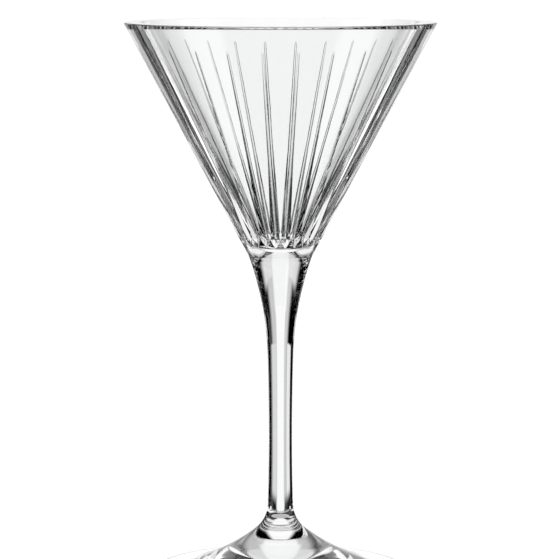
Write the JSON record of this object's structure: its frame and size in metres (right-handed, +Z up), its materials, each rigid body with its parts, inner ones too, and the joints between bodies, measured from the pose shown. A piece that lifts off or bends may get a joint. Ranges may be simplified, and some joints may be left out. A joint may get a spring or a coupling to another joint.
{
  "type": "cocktail glass",
  "caption": "Clear cut cocktail glass: a cone bowl with long vertical V cuts, a slender drawn stem and a round domed foot.",
  "frame": {"origin": "middle of the flat ring that the foot stands on", "axes": "+Z up along the glass's axis, towards the rim; +Y away from the viewer"},
  "size_m": [0.101, 0.101, 0.18],
  "materials": {
    "bowl_glass": "clear, polished, with cut facets",
    "stem_glass": "clear, fire polished",
    "foot_glass": "clear, fire polished"
  },
  "bodies": {
    "root": {"bowl": "bowl_glass", "stem": "stem_glass", "foot": "foot_glass"}
  },
  "joints": []
}
